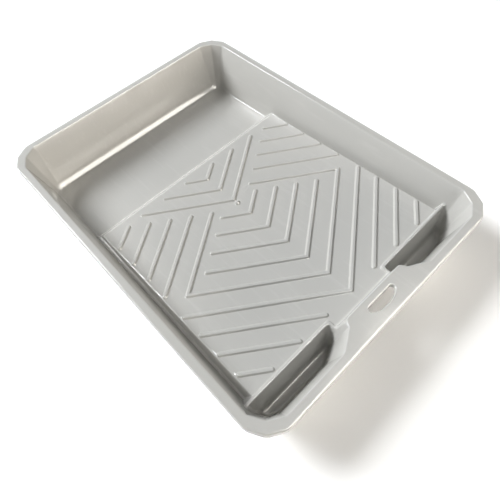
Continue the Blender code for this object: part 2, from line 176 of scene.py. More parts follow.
# ---- the mesh ---------------------------------------------------------------------------
EDGE_MARGIN = 0.00002                    # the mesh stops this far inside the skirt's face
SLOT_MARGIN = WALL / 8                   # and this far above the foot of the slot's skirt
RIM_CUT = 0.0022                         # rim pieces start this far outside the inner edge
DECK_INSET = 0.0022                      # the deck's piece ends this far inside its step
DECK_CUT = DECK_HALF_WIDTH - DECK_INSET
GRID_X = 11                              # coarse cells across the half width
GRID_Y = 15                              # and along each half of the length
TOP_TURN = math.radians(16)              # each strip of a fillet turns by this much
UNDER_TURN = math.radians(32)
FILLET_SEARCH = 0.016                    # fillets are looked for this far from their crease
LEAST_ROUNDING = 2e-6                    # a fillet has moved the surface by at least this
SHARP_CUTS = np.array([-0.0004, 0.0, 0.0004])   # mesh lines along a crease with no fillet
RIB_RINGS = np.linspace(RIB_TOP_WIDTH / 2, RIB_WIDTH / 2, 5)
BUTTON_RINGS = (0.3, 0.55, 0.75, 0.9, 1.0, 1.05)    # as parts of the button's radius
SLOT_RINGS = (-0.0004, -0.0002, 0.0, 0.0002, 0.0005, 0.0008, 0.0011, 0.0014, 0.0018, 0.0024)
WELD = 2e-6                              # plan points closer than this become one
ON_AXIS = 3e-6                           # points this near the middle line are put on it
SMALLEST_AREA = 1e-14                    # twice the area below which a triangle is dropped


# ---- the field --------------------------------------------------------------------------
# A field is (value, gradient x, gradient y, gradient z, face number), one entry a point. The field
# of the open space is negative above the tray's faces, and that of the solid block is below them.
def plane(normal, point):
    """Unit plane through a point; its value grows along the normal."""
    n = np.array(normal, float) / np.linalg.norm(normal)
    return tuple(n) + (float(n @ np.array(point, float)),)


def wall_plane(outward, point, depth=0.0, lean=DRAFT):
    """Leaning wall whose solid is on the outward side of a plan line."""
    return plane((outward[0], outward[1], -lean), (point[0], point[1], RIM_TOP - depth))


def floor_plane(y, depth, slope=0.0):
    """Floor through a depth at y; slope is the drop of the floor per unit of y."""
    return plane((0.0, -slope, -1.0), (0.0, y, RIM_TOP - depth))


def facing(angle):
    return math.cos(math.radians(angle)), math.sin(math.radians(angle))


def outline_corner():
    """The three corner points of the rim's inner outline in the +X +Y corner."""
    n30 = facing(30)
    mid = CORNER_CUT * n30[1] / (n30[0] + n30[1])
    return [(HALF_WIDTH, HALF_LENGTH - CORNER_CUT), (HALF_WIDTH - mid, HALF_LENGTH - mid),
            (HALF_WIDTH - CORNER_CUT, HALF_LENGTH)]


def left_of(start, end):
    """Unit normal to the left of a plan line."""
    x, y = end[0] - start[0], end[1] - start[1]
    size = math.hypot(x, y)
    return -y / size, x / size


def mitre(first, second):
    """Step that moves a corner between two unit normals out by one unit."""
    return (first + second) / (1 + first @ second)


def rim_reach(turn):
    """Distance from the rim's inner edge to the skirt's foot on one facet."""
    return CORNER_REACH if turn in (30, 60) else RIM_REACH


SIDE_END, CORNER_MIDDLE, BACK_END = outline_corner()
FACETS = [(0, SIDE_END), (30, SIDE_END), (60, BACK_END), (90, BACK_END)]
SIDE_FACET, END_FACET = 0, 3             # the others are the corner's
CORNERS = [(BACK_END, 90, 60), (CORNER_MIDDLE, 60, 30), (SIDE_END, 30, 0)]
TAB_ROOT = (TAB_ROOT_X, -HALF_LENGTH)
TAB_TIP = (TAB_HALF_WIDTH, TAB_EDGE_Y)

PLANES = {
    "side": wall_plane(facing(0), SIDE_END),
    "back_30": wall_plane(facing(30), SIDE_END, lean=CORNER_DRAFT),
    "back_60": wall_plane(facing(60), BACK_END, lean=CORNER_DRAFT),
    "back": wall_plane(facing(90), BACK_END),
    "front_30": wall_plane(facing(-30), (SIDE_END[0], -SIDE_END[1])),
    "front_60": wall_plane(facing(-60), (BACK_END[0], -BACK_END[1])),
    "front": wall_plane(facing(-90), (0.0, -HALF_LENGTH)),
    "flare": wall_plane(left_of(TAB_ROOT, TAB_KNEE), TAB_ROOT),
    "steep": wall_plane(left_of(TAB_KNEE, TAB_TIP), TAB_KNEE),
    "tab_edge": wall_plane(facing(-90), TAB_TIP),
    "flat": floor_plane(CREASE_Y, WELL_DEPTH),
    "rise": floor_plane(CREASE_Y, WELL_DEPTH, RISE_SLOPE),
    "ramp": floor_plane(RAMP_FOOT_Y, RAMP_FOOT_DEPTH, RAMP_SLOPE),
    "deck": floor_plane(DECK_BACK_Y, DECK_BACK_DEPTH, DECK_SLOPE),
    "step": plane((-1.0, -DRAFT * DECK_SLOPE, -DRAFT),
                  (DECK_HALF_WIDTH, DECK_BACK_Y, RIM_TOP - DECK_BACK_DEPTH)),
    "gutter": floor_plane(0.0, GUTTER_DEPTH),
    "lip_top": floor_plane(0.0, LIP_DEPTH),
    "lip_back": wall_plane(facing(-90), (0.0, DECK_FRONT_Y + LIP_WIDTH), LIP_DEPTH, LIP_LEAN),
    "lip_inner": wall_plane(facing(0), (POCKET_INNER_X - LIP_WIDTH, 0.0), LIP_DEPTH, LIP_LEAN),
    "pocket_back": wall_plane(facing(90), (0.0, DECK_FRONT_Y), LIP_DEPTH),
    "pocket_inner": wall_plane(facing(180), (POCKET_INNER_X, 0.0), LIP_DEPTH),
    "pocket_floor": floor_plane(0.0, WELL_DEPTH),
}
SOLID_PLANES = {"plate": plane((0.0, 0.0, 1.0), (0.0, 0.0, RIM_TOP))}
for word, sign in (("back", 1), ("front", -1)):
    for turn, spot in FACETS[(word == "front"):]:
        nx, ny = facing(turn)
        reach = rim_reach(turn) - RIM_FLARE
        SOLID_PLANES[f"skirt_{word}_{turn}"] = plane(
            (nx, sign * ny, RIM_FLARE / SKIRT_DROP),
            (spot[0] + nx * reach, sign * (spot[1] + ny * reach), RIM_TOP))
NUMBERS = {name: i for i, name in enumerate([*PLANES, *SOLID_PLANES, "slot", "hem"])}
NAMES = list(NUMBERS)


def join(a, b, radius):
    """Larger of two fields, with the edge between them rounded by a rolling ball."""
    cosine = a[1] * b[1] + a[2] * b[2] + a[3] * b[3]
    squared = 1.0 - cosine * cosine
    safe = np.maximum(squared, 1e-6)
    pa, pb = a[0] + radius, b[0] + radius
    alpha, beta = (pa - pb * cosine) / safe, (pb - pa * cosine) / safe
    arc = (alpha > 0) & (beta > 0) & (squared > 1e-6) & (radius > 0)
    size = np.sqrt(np.maximum(pa * alpha + pb * beta, 1e-18))
    first = a[0] > b[0]
    value = np.where(arc, size - radius, np.where(first, a[0], b[0]))
    gradient = [np.where(arc, (alpha * a[i] + beta * b[i]) / size, np.where(first, a[i], b[i]))
                for i in (1, 2, 3)]
    return (value, *gradient, np.where(first, a[4], b[4]))


def flip(a):
    return -a[0], -a[1], -a[2], -a[3], a[4]


class Tray:
    """The tray's field at points of the +X half.

    sunk is 0 for the top and WALL for the underside. sharp leaves every fillet out.
    """

    def __init__(self, x, y, z, sunk, sharp):
        self.x, self.y, self.z, self.sunk, self.sharp = x, y, z, sunk, sharp

    def face(self, name):
        if name in PLANES:
            nx, ny, nz, c = PLANES[name]
            shift = -self.sunk
        else:
            nx, ny, nz, c = SOLID_PLANES[name]
            shift = self.sunk
        return nx * self.x + ny * self.y + nz * self.z - c + shift, nx, ny, nz, NUMBERS[name]

    def outer(self, radius):
        """Radius of an outside corner, which is smaller on the underside."""
        return 0.0 if self.sharp else max(radius - self.sunk, SMALLEST_ROUND)

    def valley(self, a, b, radius):
        """Inside corner of the tray: a fillet."""
        return join(a, b, 0.0 if self.sharp else radius + self.sunk)

    def ridge(self, a, b, radius):
        """Outside corner of the tray, between two fields of the open space."""
        return flip(join(flip(a), flip(b), self.outer(radius)))

    def walls(self):
        end = self.valley(self.face("flare"), self.face("front"), WALL_CORNER_ROUND)
        end = self.valley(self.face("steep"), end, WALL_CORNER_ROUND)
        end = self.ridge(self.face("tab_edge"), end, WALL_CORNER_ROUND)
        bowl = self.face("side")
        for name in ("back_30", "back_60", "back", "front_30", "front_60"):
            bowl = self.valley(bowl, self.face(name), WALL_CORNER_ROUND)
        return self.valley(bowl, end, WALL_CORNER_ROUND)

    def floors(self):
        deck = self.ridge(self.face("ramp"), self.face("deck"), RAMP_TOP_ROUND)
        deck = self.ridge(deck, self.face("step"), STEP_ROUND)
        gutter = self.ridge(self.face("gutter"), self.face("ramp"), STEP_ROUND)
        floor = self.valley(deck, gutter, GUTTER_FILLET)
        well = self.valley(self.face("flat"), self.face("rise"), CREASE_ROUND)
        floor = self.valley(floor, well, RAMP_FOOT_ROUND)
        lip = self.ridge(self.face("lip_back"), self.face("lip_inner"), POCKET_ROUND)
        lip = self.ridge(lip, self.face("lip_top"), LIP_ROUND)
        floor = self.valley(floor, lip, LIP_FOOT_ROUND)
        pocket = self.valley(self.face("pocket_back"), self.face("pocket_inner"), POCKET_ROUND)
        pocket = self.valley(pocket, self.face("pocket_floor"), POCKET_ROUND)
        return self.ridge(floor, pocket, LIP_ROUND)

    def foot_radius(self):
        """Fillet between walls and floors: widest at the back, narrow beside the deck."""
        to_back = (self.y - SIDE_END[1] + BACK_BLEND_LEAD) / BACK_BLEND_LENGTH
        to_back = np.clip(to_back, 0.0, 1.0)
        along = np.clip((self.y - DECK_BACK_Y) / (RAMP_FOOT_Y - DECK_BACK_Y), 0.0, 1.0)
        radius = GUTTER_FILLET + (WELL_FILLET - GUTTER_FILLET) * along
        radius = radius + (BACK_FILLET - WELL_FILLET) * to_back
        return np.where(self.y < DECK_FRONT_Y + LIP_WIDTH, POCKET_ROUND, radius)

    def skirt(self):
        names = [name for name in SOLID_PLANES if name.startswith("skirt")]
        rim = self.face(names[0])
        for name in names[1:]:
            rim = join(rim, self.face(name), self.outer(SKIRT_CORNER_ROUND))
        return join(rim, self.face("plate"), self.outer(RIM_OUTER_ROUND))

    def solid(self):
        """Negative inside the moulding's block, positive in the open space above it."""
        space = self.valley(self.walls(), self.floors(), self.foot_radius())
        block = join(self.skirt(), flip(space), self.outer(RIM_INNER_ROUND))
        near, distance, gx, gy = slot_distance(self.x, self.y)
        norm = math.hypot(1.0, DRAFT)
        value = (distance + DRAFT * (RIM_TOP - self.z)) / norm - self.sunk
        hole = (-value, -gx / norm, -gy / norm, DRAFT / norm, NUMBERS["slot"])
        cut = join(block, hole, self.outer(SLOT_ROUND))
        block = tuple(np.where(near, c, b) for c, b in zip(cut, block))
        if not self.sunk:
            return block
        outside = rim_offset(self.x, self.y) > RIM_REACH - HEM_ZONE
        drop = np.where(near, SLOT_DROP, SKIRT_DROP)
        hem = (self.z - (RIM_TOP - drop), 0.0, 0.0, 1.0, NUMBERS["hem"])
        cut = flip(join(flip(block), flip(hem), 0.0 if self.sharp else HEM_ROUND))
        return tuple(np.where(outside | near, c, b) for c, b in zip(cut, block))


def slot_outline():
    """Half outline of the D-shaped slot, from its straight side to the tip of its arc."""
    centre_x, centre_y = SLOT_HALF_WIDTH - SLOT_CORNER, SLOT_STRAIGHT_Y - SLOT_CORNER
    rise = centre_y - SLOT_ARC_Y
    half = [(0.0, SLOT_STRAIGHT_Y)]
    for i in range(9):
        turn = math.radians(90 - i * 10)
        half.append((centre_x + SLOT_CORNER * math.cos(turn),
                     centre_y + SLOT_CORNER * math.sin(turn)))
    for i in range(19):
        turn = math.radians(5 * i)
        half.append((SLOT_HALF_WIDTH * math.cos(turn), centre_y - rise * math.sin(turn)))
    return np.array(half)


SLOT = slot_outline()


def slot_distance(x, y):
    """Which points are near the slot, and their signed plan distance from its outline."""
    near = (x < SLOT_HALF_WIDTH + SLOT_ZONE) & (y < SLOT_STRAIGHT_Y + SLOT_ZONE)
    near = near & (y > SLOT_ARC_Y - SLOT_ZONE)
    distance, gx, gy = np.full(x.shape, SLOT_ZONE), np.ones(x.shape), np.zeros(x.shape)
    if near.any():
        loop = np.vstack([SLOT, SLOT[-2:0:-1] * (-1.0, 1.0)])
        start, end = loop, np.roll(loop, -1, axis=0)
        along = end - start
        p = np.stack([x[near], y[near]], axis=1)[:, None, :]
        t = np.clip(((p - start) * along).sum(2) / (along ** 2).sum(1), 0.0, 1.0)
        away = p - (start + t[:, :, None] * along)
        size = np.sqrt((away ** 2).sum(2))
        nearest = size.argmin(axis=1)
        rows = np.arange(len(nearest))
        inside = point_in(loop, x[near], y[near])
        sign = np.where(inside, -1.0, 1.0)
        size = size[rows, nearest]
        clear = size > 1e-7
        outward = np.stack([-along[:, 1], along[:, 0]], axis=1)
        outward = (outward / np.linalg.norm(outward, axis=1)[:, None])[nearest]
        toward = away[rows, nearest] / np.maximum(size, 1e-9)[:, None] * sign[:, None]
        toward = np.where(clear[:, None], toward, outward)
        distance[near], gx[near], gy[near] = size * sign, toward[:, 0], toward[:, 1]
    return near & (distance < SLOT_ZONE), distance, gx, gy


def point_in(loop, x, y):
    """True for points inside a closed plan loop."""
    inside = np.zeros(x.shape, bool)
    for (x0, y0), (x1, y1) in zip(loop, np.roll(loop, -1, axis=0)):
        if y0 != y1:
            crosses = (y0 > y) != (y1 > y)
            inside ^= crosses & (x < (x1 - x0) * (y - y0) / (y1 - y0) + x0)
    return inside


def facet_offsets(x, y):
    """Plan distances outside each facet of the rim's inner outline."""
    return np.array([nx * (x - px) + ny * (np.abs(y) - py)
                     for (nx, ny), (px, py) in ((facing(turn), spot) for turn, spot in FACETS)])


def rim_offset(x, y):
    """Plan distance outside the rim's inner outline."""
    return facet_offsets(x, y).max(axis=0)


def heights(x, y, sunk=0.0, sharp=False):
    """Height of the tray's top, or of its underside, at plan points."""
    margin, halvings, corrections = 0.02, 11, 4
    low = np.full(x.shape, GROUND - margin)
    high = np.full(x.shape, RIM_TOP + margin)
    for _ in range(halvings):
        middle = (low + high) / 2
        inside = Tray(x, y, middle, sunk, sharp).solid()[0] < 0
        low, high = np.where(inside, middle, low), np.where(inside, high, middle)
    z = (low + high) / 2
    for _ in range(corrections):
        field = Tray(x, y, z, sunk, sharp).solid()
        z = np.clip(z - field[0] / np.maximum(field[3], DRAFT / 4), low, high)
    return z


def face_numbers(x, y):
    """Number of the flat face that each plan point of the top belongs to."""
    z = heights(x, y, sharp=True)
    return Tray(x, y, z, 0.0, True).solid()[4]


def slopes(x, y, z, sunk):
    """Upward normals of the surface at its own points."""
    step = 4e-6
    parts = []
    for dx, dy, dz in ((step, 0, 0), (0, step, 0), (0, 0, step)):
        ahead = Tray(x + dx, y + dy, z + dz, sunk, False).solid()[0]
        behind = Tray(x - dx, y - dy, z - dz, sunk, False).solid()[0]
        parts.append(ahead - behind)
    normal = np.stack(parts, axis=1)
    return normal / np.linalg.norm(normal, axis=1)[:, None]


# ---- ribs and centre button -------------------------------------------------------------
def rib_lines():
    """Centre lines of the ribs on the +X half."""
    slope = math.tan(RIB_ANGLE)

    def rising(start_x, point_y, end_x):
        return (start_x, point_y + slope * start_x), (end_x, point_y + slope * end_x)

    lines = []
    for i in range(NESTED_V_COUNT):
        point = CENTRE_Y + i * NESTED_V_PITCH
        lines.append(rising(0.0, point, (RIB_BACK_Y - point) / slope))
    for i in range(1, RIB_ROWS):
        point = CENTRE_Y - i * RIB_PITCH
        lines.append(rising(0.0, point, (DIAMOND_TOP - DIAMOND_GAP - point) / (2 * slope)))
    outer = CENTRE_Y - V_GAP
    point = CENTRE_Y - RIB_ROWS * RIB_PITCH
    corner = (DIAMOND_TOP - point) / (2 * slope)
    lines.append(rising(0.0, point, corner))
    for i in range(RIB_ROWS):
        top = DIAMOND_TOP + i * RIB_PITCH
        start = (top - outer) / (2 * slope)
        end = RIB_SIDE_X if i else corner
        lines.append(((start, top - slope * start), (end, top - slope * end)))
    front_point = CENTRE_Y - (RIB_ROWS + 1) * RIB_PITCH
    lines.append(rising(0.0, front_point, RIB_SIDE_X))
    for i in range(1, FRONT_RIB_COUNT + 1):
        point = front_point - i * FRONT_RIB_PITCH
        lines.append(rising((RIB_FRONT_Y - point) / slope, point, RIB_SIDE_X))
    return lines


RIBS = rib_lines()


def relief(x, y):
    """Height of the ribs and the button above the deck."""
    nearest = np.full(x.shape, np.inf)
    for (x0, y0), (x1, y1) in RIBS:
        ax, ay = x1 - x0, y1 - y0
        t = np.clip(((x - x0) * ax + (y - y0) * ay) / (ax * ax + ay * ay), 0.0, 1.0)
        nearest = np.minimum(nearest, np.hypot(x - x0 - t * ax, y - y0 - t * ay))
    t = np.clip((RIB_WIDTH / 2 - nearest) / ((RIB_WIDTH - RIB_TOP_WIDTH) / 2), 0.0, 1.0)
    rib = RIB_HEIGHT * t * t * (3.0 - 2.0 * t)
    ratio = np.clip(np.hypot(x, y - BUTTON_Y) / BUTTON_RADIUS, 0.0, 1.0)
    button = BUTTON_HEIGHT * (1.0 - ratio ** 2)
    return np.maximum(rib, button)


# ---- plan lines -------------------------------------------------------------------------
def line_of(one, two, sunk):
    """Plan line where two faces meet, as a point and a direction, or None."""
    def height_form(name):
        nx, ny, nz, c = PLANES.get(name) or SOLID_PLANES[name]
        c = c + sunk if name in PLANES else c - sunk
        return -nx / nz, -ny / nz, c / nz

    a, b = height_form(one), height_form(two)
    dx, dy, dc = a[0] - b[0], a[1] - b[1], a[2] - b[2]
    size = math.hypot(dx, dy)
    if size < 1e-6:
        return None
    return np.array([-dc * dx, -dc * dy]) / size ** 2, np.array([-dy, dx]) / size, a


def creases(sunk):
    """Plan segments along which two flat faces of the sharp tray meet."""
    names = [*PLANES, *SOLID_PLANES]
    spread = np.arange(-0.30, 0.30, 0.0005)
    touching = 1e-7
    tries = []
    for i, one in enumerate(names):
        for two in names[i + 1:]:
            line = line_of(one, two, sunk)
            if line is None:
                continue
            base, way, form = line
            x, y = base[0] + spread * way[0], base[1] + spread * way[1]
            inside = (x > -0.0001) & (x < cad_high.x) & (np.abs(y) < cad_high.y)
            z = form[0] * x + form[1] * y + form[2]
            tries.append((base, way, spread[inside], x[inside], y[inside], z[inside]))
    x, y, z = (np.concatenate([t[i] for t in tries]) for i in (3, 4, 5))
    ways = np.concatenate([np.tile(t[1], (len(t[2]), 1)) for t in tries])
    on = np.abs(Tray(x, y, z, sunk, True).solid()[0]) < touching
    on[on] = bends(x[on], y[on], ways[on], sunk)
    found, first = {}, 0
    for base, way, places, *_ in tries:
        last = first + len(places)
        for start, end in runs(places, on[first:last]):
            key = tuple(np.round([*(base + way * start), *(base + way * end)], 3))
            found.setdefault(min(key, key[2:] + key[:2]), (base, way, start, end))
        first = last
    return list(found.values())


def runs(places, on):
    """First and last place of every unbroken run of True values that is long enough."""
    shortest = 5
    found, start = [], None
    for i, flag in enumerate(on):
        if flag and start is None:
            start = i
        if start is not None and (not flag or i == len(on) - 1):
            last = i if flag else i - 1
            if last - start >= shortest:
                found.append((places[start], places[last]))
            start = None
    return found


def bends(x, y, ways, sunk):
    """True where the sharp surface really bends across a plan line."""
    offset, least_bend = 0.0003, 0.01
    levels = [heights(np.abs(x - ways[:, 1] * d), y + ways[:, 0] * d, sunk, True)
              for d in (-offset, 0.0, offset)]
    return np.abs(levels[0] + levels[2] - 2 * levels[1]) / offset > least_bend


def measuring_inset(start, end):
    """Distance from the ends of a crease at which its fillet is measured."""
    return min(0.25 * (end - start), 0.02)


def stations(segments, sunk, turn):
    """Plan lines along both sides of each crease, where its fillet has turned a little more."""
    offsets = np.arange(-FILLET_SEARCH, FILLET_SEARCH + 0.00001, 0.0001)
    ends = []
    for base, way, a, b in segments:
        inset = measuring_inset(a, b)
        ends += [base + way * (a + inset), base + way * (b - inset)]
    across = np.array([(-way[1], way[0]) for _, way, _, _ in segments for _ in (0, 1)])
    points = np.array(ends)[:, None, :] + across[:, None, :] * offsets[None, :, None]
    x, y = points[..., 0].ravel(), points[..., 1].ravel()
    round_z = heights(np.abs(x), y, sunk).reshape(points.shape[:2])
    sharp_z = heights(np.abs(x), y, sunk, True).reshape(points.shape[:2])
    lines = []
    for i, (base, way, a, b) in enumerate(segments):
        cuts = [fillet_cuts(offsets, round_z[j], sharp_z[j], turn) for j in (2 * i, 2 * i + 1)]
        count = max(len(c) for c in cuts)
        if count == 0:
            cuts = [SHARP_CUTS] * 2
            count = len(SHARP_CUTS)
        first, last = (np.interp(np.linspace(0, 1, count), np.linspace(0, 1, len(c)), c)
                       if len(c) else np.zeros(count) for c in cuts)
        inset = measuring_inset(a, b)
        reach = min(0.3 * max(np.ptp(first), np.ptp(last)), 0.1 * (b - a))
        growth = (last - first) / max(b - a - 2 * inset, 1e-6)
        for k in range(count):
            lines.append([
                base + way * s + across[2 * i] * (first[k] + growth[k] * (s - a - inset))
                for s in (a - reach, b + reach)])
    return lines


def fillet_cuts(offsets, round_z, sharp_z, turn):
    """Offsets at which a fillet starts, has turned by each further step, and ends."""
    step = offsets[1] - offsets[0]
    rounded = np.abs(round_z - sharp_z) > LEAST_ROUNDING
    middle = len(offsets) // 2
    if not rounded[middle]:
        return np.array([])
    low = high = middle
    while low > 0 and rounded[low - 1]:
        low -= 1
    while high < len(offsets) - 1 and rounded[high + 1]:
        high += 1
    angle = np.arctan(np.gradient(round_z, step))[low:high + 1]
    total = np.concatenate([[0.0], np.cumsum(np.abs(np.diff(angle)))])
    count = max(int(math.ceil(total[-1] / turn)), 2) + 1
    total = total + np.linspace(0.0, 1e-6, len(total))
    return np.interp(np.linspace(0.0, total[-1], count), total, offsets[low:high + 1])


def outline_line(offset):
    """Half of the rim's outline, moved out by an offset, from the back to the front."""
    points = [(0.0, HALF_LENGTH + offset)]
    for spot, first, second in CORNERS:
        way = mitre(np.array(facing(first)), np.array(facing(second)))
        points.append(tuple(np.array(spot) + way * offset))
    return points + [(x, -y) for x, y in reversed(points)]


def skirt_outline():
    """Half of the skirt's foot in plan, with its rounded corners, from the back to the front."""
    points = [(0.0, HALF_LENGTH + RIM_REACH - EDGE_MARGIN)]
    facets = FACETS[::-1]
    for (first, spot), (second, next_spot) in zip(facets, facets[1:]):
        normals = np.array([facing(first), facing(second)])
        reach = np.array([normals[0] @ spot + rim_reach(first),
                          normals[1] @ next_spot + rim_reach(second)])
        centre = np.linalg.solve(normals, reach - SKIRT_CORNER_ROUND)
        for turn in np.linspace(first, second, 5):
            away = np.array(facing(turn)) * (SKIRT_CORNER_ROUND - EDGE_MARGIN)
            points.append(tuple(centre + away))
    return points + [(x, -y) for x, y in reversed(points)]


def slot_line(offset):
    """The slot's half outline, moved out by an offset."""
    mirrored = SLOT * (-1.0, 1.0)
    ahead = np.vstack([SLOT[1:], mirrored[-2]])
    behind = np.vstack([mirrored[1], SLOT[:-1]])
    along = ahead - behind
    along[0], along[-1] = (1.0, 0.0), (-1.0, 0.0)
    along /= np.linalg.norm(along, axis=1)[:, None]
    moved = SLOT + np.stack([-along[:, 1], along[:, 0]], axis=1) * offset
    moved[0, 0] = moved[-1, 0] = 0.0
    return [tuple(p) for p in moved]


def ring(start, end, radius, steps=6):
    """Closed line round a rib at one distance from its centre line."""
    angle = math.atan2(end[1] - start[1], end[0] - start[0])
    points = []
    for centre, first in ((end, angle - math.pi / 2), (start, angle + math.pi / 2)):
        for i in range(steps + 1):
            turn = first + math.pi * i / steps
            points.append((centre[0] + radius * math.cos(turn),
                           centre[1] + radius * math.sin(turn)))
    return points + points[:1]


def plan_lines():
    """Every line that the plan triangulation has to follow."""
    lines = []
    for sunk, turn in ((0.0, TOP_TURN), (WALL, UNDER_TURN)):
        lines += stations(creases(sunk), sunk, turn)
    lines.append(outline_line(RIM_CUT))
    for start, end in RIBS:
        for radius in RIB_RINGS:
            lines.append(ring(start, end, radius))
        lines.append([start, end])
    for part in BUTTON_RINGS:
        lines.append(ring((0.0, BUTTON_Y), (0.0, BUTTON_Y), BUTTON_RADIUS * part, steps=12))
    for offset in SLOT_RINGS:
        lines.append(slot_line(offset))
    for k in range(1, GRID_X):
        lines.append([(k * HALF_WIDTH / GRID_X, -1.0), (k * HALF_WIDTH / GRID_X, 1.0)])
    for k in range(-GRID_Y + 1, GRID_Y):
        lines.append([(0.0, k * HALF_LENGTH / GRID_Y), (1.0, k * HALF_LENGTH / GRID_Y)])
    lines += section_cuts()
    return lines


# ---- sections ---------------------------------------------------------------------------
def section_cuts():
    """Lines between the shells that no fillet follows."""
    inward, past_skirt, overlap = 0.013, 0.004, 0.001
    lip_back_y = DECK_FRONT_Y + LIP_WIDTH
    cuts = []
    for sign in (1, -1):
        for spot, first, second in CORNERS:
            way = mitre(np.array(facing(first)), np.array(facing(second)))
            ends = [np.array(spot) + way * s for s in (-inward, CORNER_REACH + past_skirt)]
            cuts.append([(p[0], sign * p[1]) for p in ends])
    cuts.append([(DECK_CUT, DECK_FRONT_Y), (DECK_CUT, DECK_BACK_Y)])
    cuts.append([(0.0, DECK_BACK_Y), (HALF_WIDTH, DECK_BACK_Y)])
    cuts.append([(DECK_CUT - overlap, lip_back_y), (HALF_WIDTH, lip_back_y)])
    cuts.append([(0.0, -HALF_LENGTH), (HALF_WIDTH - CORNER_CUT, -HALF_LENGTH)])
    cuts.append(tab_cut_line())
    return cuts


def tab_cut_line():
    """The tab's inner outline, moved in by the rim's cut."""
    line = [TAB_ROOT, TAB_KNEE, TAB_TIP, (0.0, TAB_EDGE_Y)]
    normals = [np.array(left_of(a, b)) for a, b in zip(line, line[1:])]
    normals = [np.array((0.0, -1.0))] + normals
    moved = []
    for point, first, second in zip(line, normals, normals[1:]):
        moved.append(tuple(np.array(point) + mitre(first, second) * RIM_CUT))
    return moved + [(0.0, TAB_EDGE_Y - RIM_CUT)]


FACE_SECTIONS = {
    "back": "well_back_wall", "back_30": "well_corner", "back_60": "well_corner",
    "front": "front_wall", "front_30": "front_corner", "front_60": "front_corner",
    "flare": "tab_flare", "steep": "tab_flare", "tab_edge": "tab_wall",
    "flat": "well_floor", "rise": "well_floor", "ramp": "well_ramp", "deck": "roller_deck",
    "lip_top": "leg_pocket", "lip_back": "leg_pocket", "lip_inner": "leg_pocket",
    "pocket_back": "leg_pocket", "pocket_inner": "leg_pocket", "pocket_floor": "leg_pocket",
}
MIDDLE_SECTIONS = ("rim_back", "rim_front", "well_back_wall", "well_floor", "well_ramp",
                   "roller_deck", "tab_wall", "hang_tab")


def section_names(x, y):
    """Name of the section, without its side, for plan points of the +X half."""
    numbers = face_numbers(x, y)
    offset = rim_offset(x, y)
    facet = facet_offsets(x, y).argmax(axis=0)
    tab = point_in(np.array(tab_cut_line() + [(0.0, -HALF_LENGTH)]), x, y)
    tab_side = y < -HALF_LENGTH + CORNER_CUT
    names = []
    for i in range(len(x)):
        end = "back" if y[i] > 0 else "front"
        if offset[i] > RIM_CUT:
            rims = {SIDE_FACET: "rim_side", END_FACET: "rim_" + end}
            names.append(rims.get(facet[i], "rim_corner_" + end))
            continue
        face = NAMES[numbers[i]]
        if tab_side[i] and (tab[i] or face == "slot"):
            names.append("hang_tab")
        elif face in ("side", "plate", "gutter", "step", "deck", "ramp"):
            names.append(side_section(face, x[i], y[i], facet[i]))
        else:
            names.append(FACE_SECTIONS[face])
    return names


def side_section(face, x, y, facet):
    """Section of a plan point on a face that several sections share."""
    if face == "plate":
        if facet == END_FACET:
            return "well_back_wall" if y > 0 else plate_front(x)
        if facet != SIDE_FACET:
            return "well_corner" if y > 0 else "front_corner"
        face = "side"
    if face == "side":
        if y > DECK_BACK_Y:
            return "well_side"
        return "gutter_wall" if y > DECK_FRONT_Y + LIP_WIDTH else "front_corner"
    if face in ("gutter", "step"):
        return "gutter" if y < DECK_BACK_Y else "well_ramp"
    if face == "deck":
        return "roller_deck" if x < DECK_CUT else "gutter"
    return "well_ramp"


def plate_front(x):
    """Section that a strip of plate beside the front rim's cut belongs to."""
    if x > TAB_ROOT[0]:
        return "front_wall"
    return "tab_flare" if x > TAB_HALF_WIDTH else "tab_wall"


# ---- meshing ----------------------------------------------------------------------------
def half_plan():
    """Triangulated plan of the +X half, inside the skirt's face and outside the slot."""
    slot = slot_line(-DRAFT * (SLOT_DROP - SLOT_MARGIN))
    border = skirt_outline() + slot[::-1]
    coords, edges = [], []
    for line in [border + border[:1]] + plan_lines():
        first = len(coords)
        coords += [Vector((float(p[0]), float(p[1]))) for p in line]
        edges += [(i, i + 1) for i in range(first, len(coords) - 1)]
    found = delaunay_2d_cdt(coords, edges, [], 0, WELD)
    points = np.array([tuple(v) for v in found[0]])
    corners = np.array([tuple(f) for f in found[2]])
    middle = points[corners].mean(axis=1)
    keep = point_in(np.array(border), middle[:, 0], middle[:, 1])
    a, b, c = (points[corners[:, i]] for i in range(3))
    area = ((b[:, 0] - a[:, 0]) * (c[:, 1] - a[:, 1])
            - (b[:, 1] - a[:, 1]) * (c[:, 0] - a[:, 0]))
    corners = np.where((area > 0)[:, None], corners, corners[:, ::-1])
    corners = corners[keep & (np.abs(area) > SMALLEST_AREA)]
    used = np.unique(corners)
    back = np.zeros(len(points), int)
    back[used] = np.arange(len(used))
    points = points[used]
    points[np.abs(points[:, 0]) < ON_AXIS, 0] = 0.0
    _, first, same = np.unique(np.round(points, 7), axis=0,
                               return_index=True, return_inverse=True)
    corners = same.reshape(-1)[back[corners]]
    return points[first], corners[(corners != np.roll(corners, 1, axis=1)).all(axis=1)]


